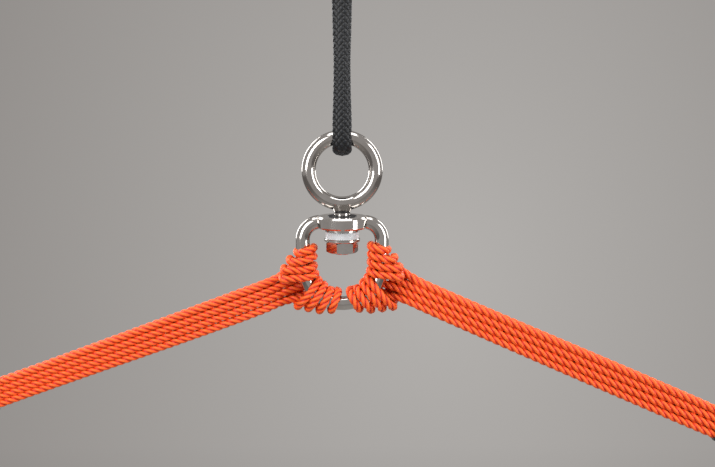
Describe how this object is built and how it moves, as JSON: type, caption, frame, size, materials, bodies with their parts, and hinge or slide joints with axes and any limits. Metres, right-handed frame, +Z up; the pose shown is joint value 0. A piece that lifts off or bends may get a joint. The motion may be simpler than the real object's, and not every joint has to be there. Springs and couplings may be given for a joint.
{
  "type": "swivel rope hanger",
  "caption": "Stainless swivel hanger: a ring eye turns in a bow on a thrust bearing, hung on a doubled black rope, with orange cord bundles cow-hitched to the bow.",
  "frame": {"origin": "middle of the bore of the thimble in the rope's top eye, which the hanger hangs by", "axes": "+Z up along the swivel's axis, X along the width of the ring and the bow and along the thimble's bore, -Y towards the front"},
  "size_m": [0.5378, 0.0336, 0.3408],
  "materials": {
    "polished_steel": "polished stainless steel",
    "bearing_steel": "ground bearing steel",
    "white_nylon": "natural nylon",
    "cage_brass": "stamped brass",
    "black_rubber": "moulded black rubber",
    "black_braid": "black braided polyester rope",
    "orange_cord": "orange three-strand laid cord"
  },
  "bodies": {
    "hanging_rope": {"black_rope": "black_braid", "rope_sleeve": "black_rubber", "rope_thimble": "polished_steel"},
    "ring": {"ring_eye": "polished_steel", "lower_race": "bearing_steel", "bearing_shroud": "white_nylon", "flat_washer": "polished_steel", "hex_nut": "polished_steel"},
    "rollers": {"roller_cage": "cage_brass", "bearing_rollers": "bearing_steel"},
    "bow": {"swivel_bow": "polished_steel", "liner_bush": "white_nylon", "dust_seal": "black_rubber", "upper_race": "bearing_steel", "left_sling": "orange_cord", "right_sling": "orange_cord", "left_keeper": "black_rubber", "right_keeper": "black_rubber", "left_end_ring": "polished_steel", "right_end_ring": "polished_steel"}
  },
  "joints": [
    {"name": "ring_swing", "type": "hinge", "parent": "hanging_rope", "child": "ring", "pos_m": [0, 0, -0.131], "axis": [1, 0, 0], "range_deg": [-60, 60]},
    {"name": "swivel_turn", "type": "hinge", "parent": "ring", "child": "bow", "pos_m": [0, 0, -0.183], "axis": [0, 0, 1], "continuous": true},
    {"name": "roller_turn", "type": "hinge", "parent": "ring", "child": "rollers", "pos_m": [0, 0, -0.183], "axis": [0, 0, 1], "continuous": true}
  ],
  "couplings": [
    {"joint": "roller_turn", "follows": "swivel_turn", "ratio": 0.5}
  ]
}
